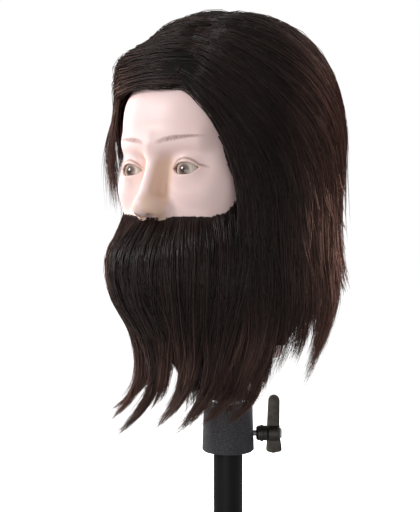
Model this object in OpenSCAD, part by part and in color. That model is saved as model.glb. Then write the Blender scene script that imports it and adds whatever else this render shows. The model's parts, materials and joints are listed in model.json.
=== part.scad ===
// Bearded mannequin training head on a bench clamp holder. Millimetres.
// +Z is up, the face looks along -Y and the mannequin's left side is +X.
// The origin is on the pole axis, level with the table top under the clamp's upper jaw.

/* [Clamp] */
// Gap between the two jaw pads as drawn
table_gap = 32; // [14:1:70]
// Width of the C frame
frame_w = 32; // [24:1:44]
// Distance from the pole axis to the inside of the C frame's spine
throat = 36; // [28:1:60]
// Thread diameter of the clamp spindle
spindle_d = 14; // [10:1:18]
// Length of the sliding T bar
tbar_len = 112; // [80:1:150]

/* [Pole] */
// Outside diameter of the fixed outer pole
pole_d = 28; // [25:1:35]
// Outside diameter of the inner tube that slides in it
inner_d = 22; // [18:1:24]
// Height of the lock collar's lower edge
collar_z = 150; // [120:1:200]
// Diameter of the collar at its lower edge
collar_d = 50; // [44:1:60]
// Height of the collar
collar_h = 44; // [36:1:60]

/* [Wing lever] */
// Heading of the clamp screw around the pole, from +X
wing_az = 38; // [0:1:359]
// Height of the screw axis above the collar's lower edge
wing_up = 16.5; // [10:0.5:30]
// Reach of the long arm from the screw axis
arm_long = 37; // [25:1:45]
// Reach of the short arm from the screw axis
arm_short = 19; // [14:1:25]

/* [Head] */
// Height of the neck's lower face
neck_z = 242.8; // [242:0.1:256]
// Wall of the moulded skin
skin_wall = 4; // [2.5:0.5:6]
// Diameter of each eye
eye_d = 24.4; // [20:0.2:28]
// Half of the distance between the eye centres
eye_x = 31; // [26:0.5:36]
// Height of the eye centres
eye_z = 416; // [405:1:425]
// How far the hair stands off the scalp as drawn, as a share
hair_full = 1; // [0.9:0.01:1.1]

/* [Hidden] */
$fn = 48;
e = 0.02;
wing_z = collar_z + wing_up;
socket_flange_z = neck_z + 4;
stem_top = neck_z + 85.2;
step_a = 9;
eye_y = -91.5;
// Outline of the head by height: half width, front and back
head_w = [[242.8, 52], [252, 51], [262, 51], [275, 52], [295, 54], [308, 57], [320, 60], [340, 64],
  [358, 67], [372, 70], [388, 72], [404, 73], [416, 73.5], [430, 74], [448, 75.5], [466, 76],
  [482, 75], [498, 69], [511, 58], [521, 45], [528, 30], [531, 17], [532, 0]];
head_f = [[242.8, -52], [252, -51], [262, -50], [275, -50], [295, -55], [308, -84], [320, -103], [340, -103],
  [358, -108], [372, -110], [388, -108], [404, -105], [416, -104], [430, -106], [448, -108], [466, -106],
  [482, -101], [498, -91], [511, -77], [521, -59], [528, -40], [531, -24], [532, -5]];
head_b = [[242.8, 52], [252, 52], [262, 52], [275, 52], [295, 53], [308, 54], [320, 56], [340, 61],
  [358, 67], [372, 73], [388, 80], [404, 86], [416, 89], [430, 91], [448, 92], [466, 90],
  [482, 84], [498, 73], [511, 60], [521, 45], [528, 29], [531, 15], [532, -5]];
levels = [for (r = head_w) if (r[0] < 532) r[0]];
// Outline of the hair by height
hair_w = [[213, 68], [235, 83], [262, 95], [298, 102], [340, 101], [371, 101], [404, 103], [441, 105],
  [470, 104], [498, 98], [518, 88], [536, 72], [551, 53], [561, 33], [566, 17], [568, 0]];
hair_f = [[213, -64], [498, -113], [518, -103], [536, -84], [551, -62], [561, -40], [566, -21], [568, -4]];
hair_b = [[213, 78], [235, 90], [262, 103], [298, 115], [340, 113], [371, 112], [404, 115], [441, 118],
  [470, 115], [498, 106], [518, 94], [536, 76], [551, 55], [561, 33], [566, 14], [568, -4]];
// Outline of the beard by height
beard_w = [[198, 78], [213, 76], [240, 75], [270, 78], [300, 84], [328, 88], [350, 88], [371, 87]];
beard_f = [[198, -104], [213, -101], [240, -98], [270, -106], [300, -127], [328, -138], [350, -130], [371, -121]];

// Local +Z runs outward along the clamp screw, local -X is up
module at_wing() { translate([0, 0, wing_z]) rotate([0, 0, wing_az]) rotate([0, 90, 0]) children(); }
module tube(z0, z1, ro, ri) {
  difference() {
    translate([0, 0, z0]) cylinder(r = ro, h = z1 - z0);
    translate([0, 0, z0 - 1]) cylinder(r = ri, h = z1 - z0 + 2);
  }
}
function arc(cx, cy, r, a0, a1, n = 6) =
  [for (i = [0 : n]) let (a = a0 + (a1 - a0) * i / n) [cx + r * cos(a), cy + r * sin(a)]];
function thread(z0, z1, ro, ri, p) = let (n = floor((z1 - z0) / p), q = (z1 - z0) / n)
  [for (i = [0 : n - 1]) each [[ro, z0 + q * (i + 0.12)], [ri, z0 + q * (i + 0.45)],
    [ri, z0 + q * (i + 0.55)], [ro, z0 + q * (i + 0.88)]]];

// ---- clamp ----
module clamp_bracket() color("#26272b") {
  yi = throat; yo = throat + 14; zb = -112;
  difference() {
    union() {
      rotate([90, 0, 90]) translate([0, 0, -frame_w / 2]) linear_extrude(frame_w)
        polygon(concat([[-30, 15], [-30, 3]], arc(yi - 8, -5, 8, 90, 0), arc(yi - 10, zb + 24, 10, 0, -90),
          [[-13, zb + 14], [-17, zb + 10], [-17, zb + 4], [-13, zb]],
          arc(yo - 14, zb + 14, 14, -90, 0), arc(yo - 14, 1, 14, 0, 90)));
      translate([0, -28, 3]) cylinder(r = 24, h = 12);
      translate([-24, -28, 3]) cube([48, 52, 12]);
      translate([-4, yo - 1, -92]) cube([8, 7, 84]);
      translate([0, 0, zb - 3]) cylinder(r = 16.5, h = 20);
    }
    translate([0, 0, zb - 4]) cylinder(r = 10.02, h = 22);
    for (a = [45 : 90 : 315]) rotate([0, 0, a]) translate([24, 0, 4]) cylinder(r = 2.55, h = 12);
  }
}
module jaw_pad() color("#1b1b1d") {
  translate([0, -28, 0]) cylinder(r = 21, h = 3 - e);
  translate([-21, -28, 0]) cube([42, 52, 3 - e]);
}
module pole_flange() color("#1d1d20") difference() {
  rotate_extrude() polygon([[14.03, 15], [30, 15], [31, 16], [31, 20], [30, 21], [19.2, 21.3],
    [18.6, 23], [18.4, 26.5], [18, 42], [17, 44], [14.03, 44]]);
  for (a = [45 : 90 : 315]) rotate([0, 0, a]) translate([24, 0, 14]) cylinder(r = 2.8, h = 10);
}
module flange_bolts() color("#9b9ca0") for (a = [45 : 90 : 315]) rotate([0, 0, a]) translate([24, 0, 0]) {
  difference() {
    union() {
      translate([0, 0, 6]) cylinder(r = 2.5, h = 17);
      translate([0, 0, 21.4]) cylinder(r = 4.6, h = 4.2);
    }
    translate([0, 0, 22.9]) cylinder(r = 2.3, h = 4, $fn = 6);
  }
}
module outer_tube() color("#151517") difference() {
  tube(15.1, collar_z + 32, pole_d / 2, pole_d / 2 - 1.5);
  at_wing() translate([0, 0, 8]) cylinder(r = 3.6, h = 10);
}
module guide_bush() color("#d9d6cc") difference() {
  union() {
    tube(140, collar_z + 32.1, pole_d / 2 - 1.52, inner_d / 2 + 0.06);
    tube(collar_z + 32.1, collar_z + 34, pole_d / 2, inner_d / 2 + 0.06);
  }
  at_wing() translate([0, 0, 8]) cylinder(r = 3.6, h = 10);
}
module lock_collar() color("#3a3b3f") {
  ro = collar_d / 2; rt = ro - 1.5; zt = collar_z + collar_h;
  difference() {
    rotate_extrude() polygon([[pole_d / 2 + 0.03, collar_z + 1], [pole_d / 2 + 1, collar_z],
      [ro - 1.2, collar_z], [ro, collar_z + 1.2], [rt, zt - 2.4], [rt - 0.9, zt - 0.7], [rt - 2.6, zt],
      [inner_d / 2 + 1.4, zt], [inner_d / 2 + 0.5, zt - 0.8], [inner_d / 2 + 0.5, collar_z + 34.1],
      [pole_d / 2 + 0.03, collar_z + 34.1]]);
    at_wing() translate([0, 0, 8]) cylinder(r = 3.6, h = 12);
    at_wing() translate([0, 0, 16]) cylinder(r = 4.52, h = 14);
  }
}
module collar_insert() color("#b8964a") at_wing() tube(16.1, 23.9, 4.5, 3);
module clamp_nut() color("#b8964a") {
  tube(-115.02, -97, 10, spindle_d / 2 + 0.06);
  tube(-116.6, -115.02, 14, spindle_d / 2 + 0.06);
}

// ---- spindle with its pad and T bar ----
pad_top = -table_gap;
module spindle() color("#b9bbbe") {
  zt = pad_top - 13; r = spindle_d / 2;
  difference() {
    union() {
      translate([0, 0, zt]) sphere(r = 6.5);
      translate([0, 0, zt - 12]) cylinder(r = 4.4, h = 10);
      rotate_extrude() polygon(concat([[0, -137], [r - 1, -137]], thread(-136.5, zt - 11.5, r, r - 0.9, 3),
        [[r - 1.6, zt - 10], [0, zt - 10]]));
      rotate_extrude() polygon([[0, -156], [9.5, -156], [11, -154.5], [11, -139.5], [9.5, -138], [0, -136.8]]);
    }
    translate([-20, 0, -147]) rotate([0, 90, 0]) cylinder(r = 4.06, h = 40);
  }
}
module swivel_pad() color("#2b2c30") {
  z = pad_top;
  difference() {
    rotate_extrude() polygon([[0, z - 2 - e], [17, z - 2 - e], [17, z - 6], [16, z - 7], [11.5, z - 8],
      [10.5, z - 11], [10, z - 17.5], [0, z - 17.5]]);
    translate([0, 0, z - 13]) sphere(r = 6.8);
    translate([0, 0, z - 18]) cylinder(r = 5.4, h = 5);
  }
}
module pad_rubber() color("#1b1b1d") translate([0, 0, pad_top - 2]) cylinder(r = 16.5, h = 2);
module t_bar() color("#b9bbbe")
  translate([-tbar_len / 2, 0, -147]) rotate([0, 90, 0]) cylinder(r = 4, h = tbar_len);
module t_bar_caps() color("#1b1b1d") for (s = [-1, 1]) translate([s * (tbar_len / 2 - 4), 0, -147])
  rotate([0, s * 90, 0]) rotate_extrude()
    polygon([[4.02, -4], [5.4, -4], [6.2, -2.5], [6.5, 2], [6, 5], [4.4, 6.6], [0, 7.2], [0, 4.05], [4.02, 4.05]]);

// ---- height lock ----
module pressure_tip() color("#d9d6cc") at_wing() translate([0, 0, 11.35]) cylinder(r = 2.9, h = 2.2);
module lever_stud() color("#c8c9cb") at_wing() {
  translate([0, 0, 13.9]) cylinder(r = 2.94, h = 9.9);
  rotate_extrude() polygon(concat([[0, 23.7]], thread(23.8, 28.8, 2.94, 2.5, 1), [[2.94, 29], [2.94, 48], [0, 48]]));
}
module wing_lever() color("#8b8c90") at_wing() difference() {
  union() {
    rotate_extrude() polygon([[0, 27], [5.6, 27], [6.4, 27.8], [7.2, 29], [7.3, 31], [8, 31.5], [8, 33.2],
      [7.2, 33.8], [7.1, 37.5], [8.6, 39], [8.6, 47.5], [7.6, 49.6], [0, 49.6]]);
    hull() {
      translate([-4, 0, 43.2]) rotate([90, 0, 0]) cylinder(r = 6, h = 7.6, center = true);
      translate([-arm_long + 5.4, 0, 44]) rotate([90, 0, 0]) cylinder(r = 5.4, h = 4.8, center = true);
    }
    rotate([0, 0, -14]) hull() {
      translate([3, 0, 43.5]) cube([8, 8.4, 11.5], center = true);
      translate([arm_short - 3, 0, 43.5]) rotate([90, 0, 0]) cylinder(r = 3, h = 5.6, center = true);
      translate([arm_short - 4, 0, 39.5]) rotate([90, 0, 0]) cylinder(r = 3, h = 5.6, center = true);
      translate([arm_short - 4, 0, 48.5]) rotate([90, 0, 0]) cylinder(r = 3, h = 5.6, center = true);
    }
  }
  translate([0, 0, 26]) cylinder(r = 2.96, h = 22.3);
  translate([0, 0, 48]) cylinder(r = 4.02, h = 3);
  translate([0, 0, 49.61]) cylinder(r = 5.6, h = 3);
}
module lever_cap() color("#a9aaad") at_wing() {
  translate([0, 0, 48.3]) cylinder(r = 4, h = 1.4);
  translate([0, 0, 49.65]) cylinder(r1 = 5.2, r2 = 4.4, h = 1.9);
}

// ---- sliding riser and swivel ----
module inner_tube() color("#c4c6c9") tube(45, 196, inner_d / 2, inner_d / 2 - 1.6);
module tube_foot() color("#d9d6cc") {
  difference() {
    union() {
      translate([0, 0, 35]) cylinder(r = pole_d / 2 - 1.6, h = 10 - e);
      translate([0, 0, 45 - e]) cylinder(r = inner_d / 2 - 1.62, h = 12);
    }
    translate([0, 0, 34]) cylinder(r = 6, h = 30);
  }
}
module swivel_stem() color("#b9bbbe") difference() {
  rotate_extrude() polygon([[0, 170], [inner_d / 2 - 2.2, 170], [inner_d / 2 - 1.62, 171],
    [inner_d / 2 - 1.62, 196 + e], [13, 196 + e], [13, 199], [6, 199], [6, stem_top - 1], [5.2, stem_top], [0, stem_top]]);
  translate([0, 0, stem_top - 20]) cylinder(r = 2.52, h = 21);
}
module thrust_washer() color("#e6e3da") tube(199 + e, 200.5, 16, 6.06);
module retaining_washer() color("#c4c6c9") tube(stem_top + e, stem_top + 1.5, 10.5, 3.1);
module stem_screw() color("#9b9ca0") difference() {
  union() {
    translate([0, 0, stem_top - 15]) cylinder(r = 2.5, h = 17);
    translate([0, 0, stem_top + 1.5 + e]) cylinder(r1 = 5, r2 = 4.2, h = 3.4);
  }
  translate([0, 0, stem_top + 3]) cylinder(r = 2, h = 4, $fn = 6);
}
module neck_plug() color("#17181a") rotate_extrude() polygon([[8.03, 200.8], [20.6, 200.8],
  [21.6, 201.8], [21.6, 206.5], [20.8, 207.5], [18.2, 209], [17, neck_z - 0.4], [16.9, neck_z + 2],
  [14.2, stem_top - 4], [12.8, stem_top - 0.5], [8.03, stem_top - 0.5]]);
module plug_bush() color("#d9d6cc") tube(201, stem_top - 0.7, 8, 6.05);

// ---- head ----
function sgn_pow(v, p) = sign(v) * pow(abs(v), p);
// A point of the outline (half width w, front f, back b) at angle a, which is 0 in front and 90 on +X
function on_loop(w, f, b, a, z, p = 0.94) = let (m = f * 0.06 + b * 0.06, c = cos(a))
  [w * sgn_pow(sin(a), p), m + (c > 0 ? (f - m) * sgn_pow(c, p) : (m - b) * sgn_pow(c, p)), z];
// The face is fuller at its corners than the back of the head
face_p = [[290, 0.94], [320, 0.78], [480, 0.78], [505, 0.94]];
function nose(x, z) = z < 374 || z > 436 ? 0 :
  (z < 388 ? 20 * (z - 374) / 14 : 20 * (436 - z) / 48) * exp(-x * x / ((z < 396 ? 95 : 45)));
function head_pt(a, z, off = 0) = let (p = on_loop(lookup(z, head_w) + off, lookup(z, head_f) - off,
  lookup(z, head_b) + off, a, z, cos(a) > 0 ? lookup(z, face_p) : 0.94)) [p[0], p[1] - (cos(a) > 0 && off >= 0 ? nose(p[0], z) : 0), z];
function hair_pt(a, z, k = 1) = on_loop(k * lookup(z, hair_w), k * lookup(z, hair_f), k * lookup(z, hair_b), a, z, 1);
function beard_pt(a, z) = on_loop(lookup(z, beard_w), lookup(z, beard_f), 90, a, z, 1);
function flat(l) = [for (r = l) each r];

// Closed solid between an outer and an inner stack of closed rings, joined by a ring at the bottom
module cup(outer, outer_top, inner, inner_top) {
  n = len(outer[0]); m = len(outer); k = len(inner);
  pts = concat(flat(outer), [outer_top], flat(inner), [inner_top]);
  t = m * n; q = t + 1; u = q + k * n;
  polyhedron(points = pts, faces = concat(
    [for (i = [0 : m - 2], j = [0 : n - 1]) let (a = i * n + j, b = i * n + (j + 1) % n) each [[a, a + n, b + n], [a, b + n, b]]],
    [for (j = [0 : n - 1]) [(m - 1) * n + j, t, (m - 1) * n + (j + 1) % n]],
    [for (i = [0 : k - 2], j = [0 : n - 1]) let (a = q + i * n + j, b = q + i * n + (j + 1) % n) each [[a, b + n, a + n], [a, b, b + n]]],
    [for (j = [0 : n - 1]) [q + (k - 1) * n + j, q + (k - 1) * n + (j + 1) % n, u]],
    [for (j = [0 : n - 1]) let (j2 = (j + 1) % n) each [[j, j2, q + j2], [j, q + j2, q + j]]]));
}
// Closed solid between two grids of points with the same rows and columns
module pad_between(outer, inner) {
  m = len(outer); n = len(outer[0]); t = m * n;
  polyhedron(points = concat(flat(outer), flat(inner)), faces = concat(
    [for (i = [0 : m - 2], j = [0 : n - 2]) let (a = i * n + j) each [[a, a + n, a + n + 1], [a, a + n + 1, a + 1]]],
    [for (i = [0 : m - 2], j = [0 : n - 2]) let (a = t + i * n + j) each [[a, a + n + 1, a + n], [a, a + 1, a + n + 1]]],
    [for (i = [0 : m - 2]) let (a = i * n) each [[a, a + t, a + n + t], [a, a + n + t, a + n]]],
    [for (i = [0 : m - 2]) let (a = i * n + n - 1) each [[a, a + n + t, a + t], [a, a + n, a + n + t]]],
    [for (j = [0 : n - 2]) each [[j, j + 1, j + 1 + t], [j, j + 1 + t, j + t]]],
    [for (j = [0 : n - 2]) let (a = (m - 1) * n + j) each [[a, a + 1 + t, a + 1], [a, a + t, a + 1 + t]]]));
}
ring = [for (a = [0 : step_a : 359]) a];
module eye_balls(r) for (s = [-1, 1]) translate([s * eye_x, eye_y, eye_z]) sphere(r = r);
module base_disc() color("#e6d3c6") difference() {
  tube(neck_z, neck_z + 4 - e, 47.4, 17.7);
  for (a = [90 : 120 : 330]) rotate([0, 0, a]) translate([28.5, 0, 0]) {
    translate([0, 0, neck_z - 1]) cylinder(r = 1.75, h = 6);
    translate([0, 0, neck_z - e]) cylinder(r1 = 3.4, r2 = 1.7, h = 1.8);
  }
}
module disc_screws() color("#9b9ca0") for (a = [90 : 120 : 330]) rotate([0, 0, a]) translate([28.5, 0, 0]) {
  translate([0, 0, neck_z]) cylinder(r1 = 3.25, r2 = 1.6, h = 1.7);
  translate([0, 0, neck_z + 1.6]) cylinder(r = 1.6, h = 8);
}
module neck_socket() color("#2a2a2c") difference() {
  rotate_extrude() polygon([[17.8, socket_flange_z], [33, socket_flange_z], [33, socket_flange_z + 6],
    [21, socket_flange_z + 8], [20, neck_z + 33], [18.4, neck_z + 97], [0, neck_z + 97], [0, neck_z + 93],
    [14.4, neck_z + 93], [14.5, neck_z + 81]]);
  for (a = [90 : 120 : 330]) rotate([0, 0, a]) translate([28.5, 0, socket_flange_z - 1]) cylinder(r = 1.62, h = 7);
}
module foam_core() color("#efe6c8") difference() {
  zz = [for (z = levels) if (z > 257) z - 1]; off = -skin_wall - 1.6;
  cup(concat([[for (a = ring) head_pt(a, 256, off)]], [for (z = zz) if (z > 258 && z < 526) [for (a = ring) head_pt(a, z, off)]]),
    [0, -5, 525],
    [for (z = [256, 342]) [for (a = ring) [22 * sin(a), -22 * cos(a), z]]], [0, 0, 342]);
  for (s = [-1, 1]) translate([s * eye_x - 14, eye_y - 38, eye_z - 14]) cube([28, 46, 28]);
}
module head_skin() color("#efd6cc") difference() {
  cup([for (z = levels) [for (a = ring) head_pt(a, z)]], [0, -5, 532],
    [for (z = levels) [for (a = ring) head_pt(a, z < 521 ? z : z < 528 ? 522 : z < 531 ? 525 : 526.5, -skin_wall)]],
    [0, -5, 527]);
  eye_balls(eye_d / 2 + 0.3);
}
module eye(s) translate([s * eye_x, eye_y, eye_z]) rotate([90, 0, 0]) rotate_extrude()
  polygon(concat([[0, -4]], arc(0, 0, eye_d / 2, -asin(8 / eye_d), 84, 16), [[0, eye_d / 2]]));
module eye_left() color("#e9e4da") eye(1);
module eye_right() color("#e9e4da") eye(-1);

// ---- hair and beard ----
hair_c = "#2c211f";
hair_off = 1.2;
side_z = [213, 226, 250, 275, 295, 308, 320, 340, 358, 372, 388, 404, 416, 430, 448, 466, 482, 496];
// Front edge of the side hair, as an angle round from the face
edge_a = [[213, 72], [295, 72], [340, 63], [372, 57], [402, 52], [416, 48], [434, 44], [455, 40], [470, 35], [496, 22]];
module hair_side(s, a1) {
  n = 9;
  function ang(z, j) = let (a0 = lookup(z, edge_a)) s * (a0 + (a1 - a0) * j / (n - 1));
  g = s > 0 ? [0 : n - 1] : [n - 1 : -1 : 0];
  pad_between([for (z = side_z) [for (j = g) hair_pt(ang(z, j), z, hair_full)]],
    [for (z = side_z) [for (j = g) head_pt(ang(z, j), z, hair_off + (z < 296 ? 6 : 0))]]);
}
module hair_left() color(hair_c) hair_side(1, 125.5);
module hair_right() color(hair_c) hair_side(-1, 125.5);
module hair_back() color(hair_c) pad_between(
  [for (z = side_z) [for (a = [126 : 9 : 234]) hair_pt(a, z, hair_full)]],
  [for (z = side_z) [for (a = [126 : 9 : 234]) head_pt(a, z, hair_off + (z < 296 ? 6 : 0))]]);
module hair_top() color(hair_c) cup(
  [for (z = [497, 508, 518, 528, 537, 545, 552, 558, 562, 565, 567]) [for (a = ring) hair_pt(a, z, hair_full)]],
  [0, -4, 568 * hair_full],
  [for (z = [497, 498, 511, 521, 528, 531]) [for (a = ring) head_pt(a, z, hair_off + (z > 527 ? 1 : 0)) + [0, 0, z > 500 ? 1 : 0]]],
  [0, -5, 533.4]);
beard_z = [213, 240, 270, 300, 314, 328, 346];
function beard_in(a, z) = head_pt(a, z, z < 308 ? 20 : z < 320 ? 8 : hair_off);
module beard_part(as, zs, low = 0) pad_between(
  [for (z = zs) [for (a = as) beard_pt(a, z)]], [for (z = zs) [for (a = as) beard_in(a, z)]]);
module moustache() color(hair_c) beard_part([for (j = [-5 : 5]) j * 9], [346.6, 352, 358, 365, 371]);
module beard_chin() color(hair_c) beard_part([for (j = [-8 : 8]) j * 4.2], concat([198], beard_z));
module beard_left() color(hair_c) beard_part([34.2, 39, 45, 51, 57, 62.4], beard_z);
module beard_right() color(hair_c) beard_part([-62.4, -57, -51, -45, -39, -34.2], beard_z);

clamp_bracket();
jaw_pad();
pole_flange();
flange_bolts();
outer_tube();
guide_bush();
lock_collar();
collar_insert();
clamp_nut();
spindle();
swivel_pad();
pad_rubber();
t_bar();
t_bar_caps();
pressure_tip();
lever_stud();
wing_lever();
lever_cap();
inner_tube();
tube_foot();
swivel_stem();
thrust_washer();
retaining_washer();
stem_screw();
neck_plug();
plug_bush();
base_disc();
disc_screws();
neck_socket();
foam_core();
head_skin();
eye_left();
eye_right();
hair_top();
hair_left();
hair_right();
hair_back();
moustache();
beard_chin();
beard_left();
beard_right();
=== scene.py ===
import json
import math
import bpy
import numpy as np
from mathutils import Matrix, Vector


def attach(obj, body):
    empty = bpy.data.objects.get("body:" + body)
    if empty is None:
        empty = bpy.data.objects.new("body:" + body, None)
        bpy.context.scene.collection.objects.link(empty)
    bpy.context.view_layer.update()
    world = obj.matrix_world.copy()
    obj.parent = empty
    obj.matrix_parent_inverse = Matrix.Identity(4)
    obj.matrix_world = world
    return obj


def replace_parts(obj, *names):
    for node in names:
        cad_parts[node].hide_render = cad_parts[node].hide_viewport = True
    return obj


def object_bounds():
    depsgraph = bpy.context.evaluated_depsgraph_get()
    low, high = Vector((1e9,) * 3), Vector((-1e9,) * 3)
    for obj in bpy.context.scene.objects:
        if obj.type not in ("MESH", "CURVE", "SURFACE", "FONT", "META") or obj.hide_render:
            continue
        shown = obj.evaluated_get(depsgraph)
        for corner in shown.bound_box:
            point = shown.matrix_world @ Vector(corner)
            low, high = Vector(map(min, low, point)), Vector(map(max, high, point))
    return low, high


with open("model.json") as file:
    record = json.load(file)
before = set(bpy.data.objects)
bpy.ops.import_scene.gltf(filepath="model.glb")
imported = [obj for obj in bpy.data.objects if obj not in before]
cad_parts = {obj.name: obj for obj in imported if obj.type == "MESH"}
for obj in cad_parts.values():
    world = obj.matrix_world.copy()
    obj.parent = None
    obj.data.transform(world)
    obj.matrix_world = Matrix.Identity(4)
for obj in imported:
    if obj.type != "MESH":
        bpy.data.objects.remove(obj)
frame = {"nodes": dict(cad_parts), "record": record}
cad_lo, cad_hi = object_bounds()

MM = 0.001
rng = np.random.default_rng(41)
nodes = frame["nodes"]

# -------------------- camera
AZIMUTH = math.radians(39.3)
DISTANCE = 1.0
SIDEWAYS = -0.0175
CAMERA_Z = 0.3817
AIM_Z = 0.3372
R_DIR = np.array([math.cos(AZIMUTH), math.sin(AZIMUTH), 0.0])  # to the right in the picture
V_DIR = np.array([-math.sin(AZIMUTH), math.cos(AZIMUTH), 0.0])  # away from the camera
cam_data = bpy.data.cameras.new("camera")
cam = bpy.data.objects.new("camera", cam_data)
bpy.context.scene.collection.objects.link(cam)
cam_data.sensor_width = 36.0
cam_data.lens = 73.5
cam.location = Vector(tuple(-V_DIR * DISTANCE + R_DIR * SIDEWAYS + np.array([0, 0, CAMERA_Z])))
aim = Vector(tuple(R_DIR * SIDEWAYS + np.array([0, 0, AIM_Z])))
cam.rotation_euler = (aim - cam.location).to_track_quat("-Z", "Y").to_euler()
cam_data.clip_start = 0.05
bpy.context.scene.camera = cam

# -------------------- head outline, in millimetres
# Stations (height, value): half width, front and back of the bare head, then of the hair's outer limit
HW = [(200, 52), (242, 52), (254, 51), (275, 52), (295, 54), (308, 57), (320, 60), (340, 64), (358, 67),
      (372, 70), (388, 72), (404, 73), (416, 73.5), (430, 74), (450, 75.5)]
HF = [(200, -52), (242, -52), (254, -51), (275, -50), (293, -54), (303, -70), (311, -92), (320, -99),
      (340, -102), (358, -106), (372, -107), (388, -105), (404, -102), (416, -101), (430, -105), (450, -108)]
HB = [(200, 52), (242, 52), (254, 52), (275, 52), (295, 53), (308, 54), (320, 56), (340, 61), (358, 67),
      (372, 73), (388, 80), (404, 86), (416, 89), (430, 91), (450, 92)]
EW = [(150, 50), (200, 62), (235, 83), (262, 96), (298, 103), (340, 101), (371, 101), (404, 103), (450, 105)]
EF = [(150, -50), (213, -66), (250, -90), (300, -100), (371, -108), (450, -112)]
EB = [(150, 50), (200, 68), (235, 90), (262, 104), (298, 116), (340, 112), (371, 111), (404, 114), (450, 118)]
ZT = np.arange(120.0, 600.0, 1.0)
DOME_Z = 450  # the sections stay alike above this height and close in a dome
HEAD_TOP = 532
HAIR_TOP = 568
NECK_FOOT = 242.9


def table(stations, sigma=5.0):
    """The stations' values at every height of ZT, smoothed."""
    z, v = np.array(stations, float).T
    d = np.interp(ZT, z, v)
    k = np.exp(-0.5 * (np.arange(-15, 16) / sigma) ** 2)
    k /= k.sum()
    return np.convolve(np.pad(d, 15, mode="edge"), k, mode="valid")


T_HW, T_HF, T_HB = table(HW), table(HF, 3.5), table(HB)
T_EW, T_EF, T_EB = table(EW), table(EF), table(EB)


def sstep(v, a, b):
    """Smooth step from 0 at a to 1 at b."""
    t = np.clip((v - a) / (b - a), 0, 1)
    return t * t * (3 - 2 * t)


def smin(a, b, k):
    """Smaller of two values, blended where they are within k."""
    h = np.clip(0.5 + 0.5 * (b - a) / k, 0, 1)
    return b + (a - b) * h - k * h * (1 - h)


def smax(a, b, k):
    return -smin(-a, -b, k)


def middle(f, b):
    """Where the widest part of a section lies, between its front and back."""
    return 0.06 * (f + b)


def loft(P, tw, tf, tb, ztop, e_top, n, fuller=0.0):
    """Signed value, about a distance in mm, to a body with elliptic sections and a dome on top."""
    x, y, z = P[..., 0], P[..., 1], P[..., 2]
    w = np.interp(z, ZT, tw)
    f = np.interp(z, ZT, tf)
    b = np.interp(z, ZT, tb)
    m = middle(f, b)
    t = np.clip((z - DOME_Z) / (ztop - DOME_Z), 0, None)
    d = np.where(y < m, m - f, b - m)
    if fuller:  # rounder corners in front than at the back
        n = n + fuller * sstep(m - y, 0, 45) * sstep(z, 295, 325) * (1 - sstep(z, 475, 505))
    q = (np.abs(x) / w) ** n + (np.abs(y - m) / d) ** n
    q = q ** (e_top / n) + t ** e_top
    return (q ** (1 / e_top) - 1) * np.minimum(w, 90)


def head_base(P):
    return loft(P, T_HW, T_HF, T_HB, HEAD_TOP, 2.4, 2.12, 0.5)


def envelope(P):
    return loft(P, T_EW, T_EF, T_EB, HAIR_TOP, 2.2, 2.0)


def ell(P, c, r):
    """About the distance to an ellipsoid with centre c and radii r."""
    q = (P - np.array(c, float)) / np.array(r, float)
    n = np.sqrt((q ** 2).sum(-1))
    return (n - 1) * min(r) + (n - 1) * (np.mean(r) - min(r)) * 0.5


def cap(P, a, b, r0, r1):
    """Distance to a rod from a to b with radii r0 and r1."""
    a = np.array(a, float)
    ab = np.array(b, float) - a
    t = np.clip(((P - a) @ ab) / (ab @ ab), 0, 1)
    return np.sqrt(((P - a - t[..., None] * ab) ** 2).sum(-1)) - (r0 + (r1 - r0) * t)


EYE = np.array([31.0, -91.5, 416.0])
EYE_R = 12.2
LID_END = 1.06  # half length of the opening, in the units of eye_local


def eye_local(P):
    """Across the lids, 0 in the middle and 1 near each corner, and up in mm. x is folded to +X."""
    u = (P[..., 0] - 31.7) / 12.6
    v = P[..., 2] - 417.0 - 0.4 * u
    return u, v


def lids(u):
    """Upper and lower edge of the opening."""
    k = [-1.05, -0.7, -0.4, 0, 0.4, 0.6, 0.8, 0.95, LID_END]
    return (np.interp(u, k, [0, 2.8, 4.5, 5.3, 4.6, 3.5, 2.1, 0.9, 0]),
            np.interp(u, k, [0, -3.0, -4.4, -5.1, -5.0, -4.4, -2.9, -1.1, 0]))


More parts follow.
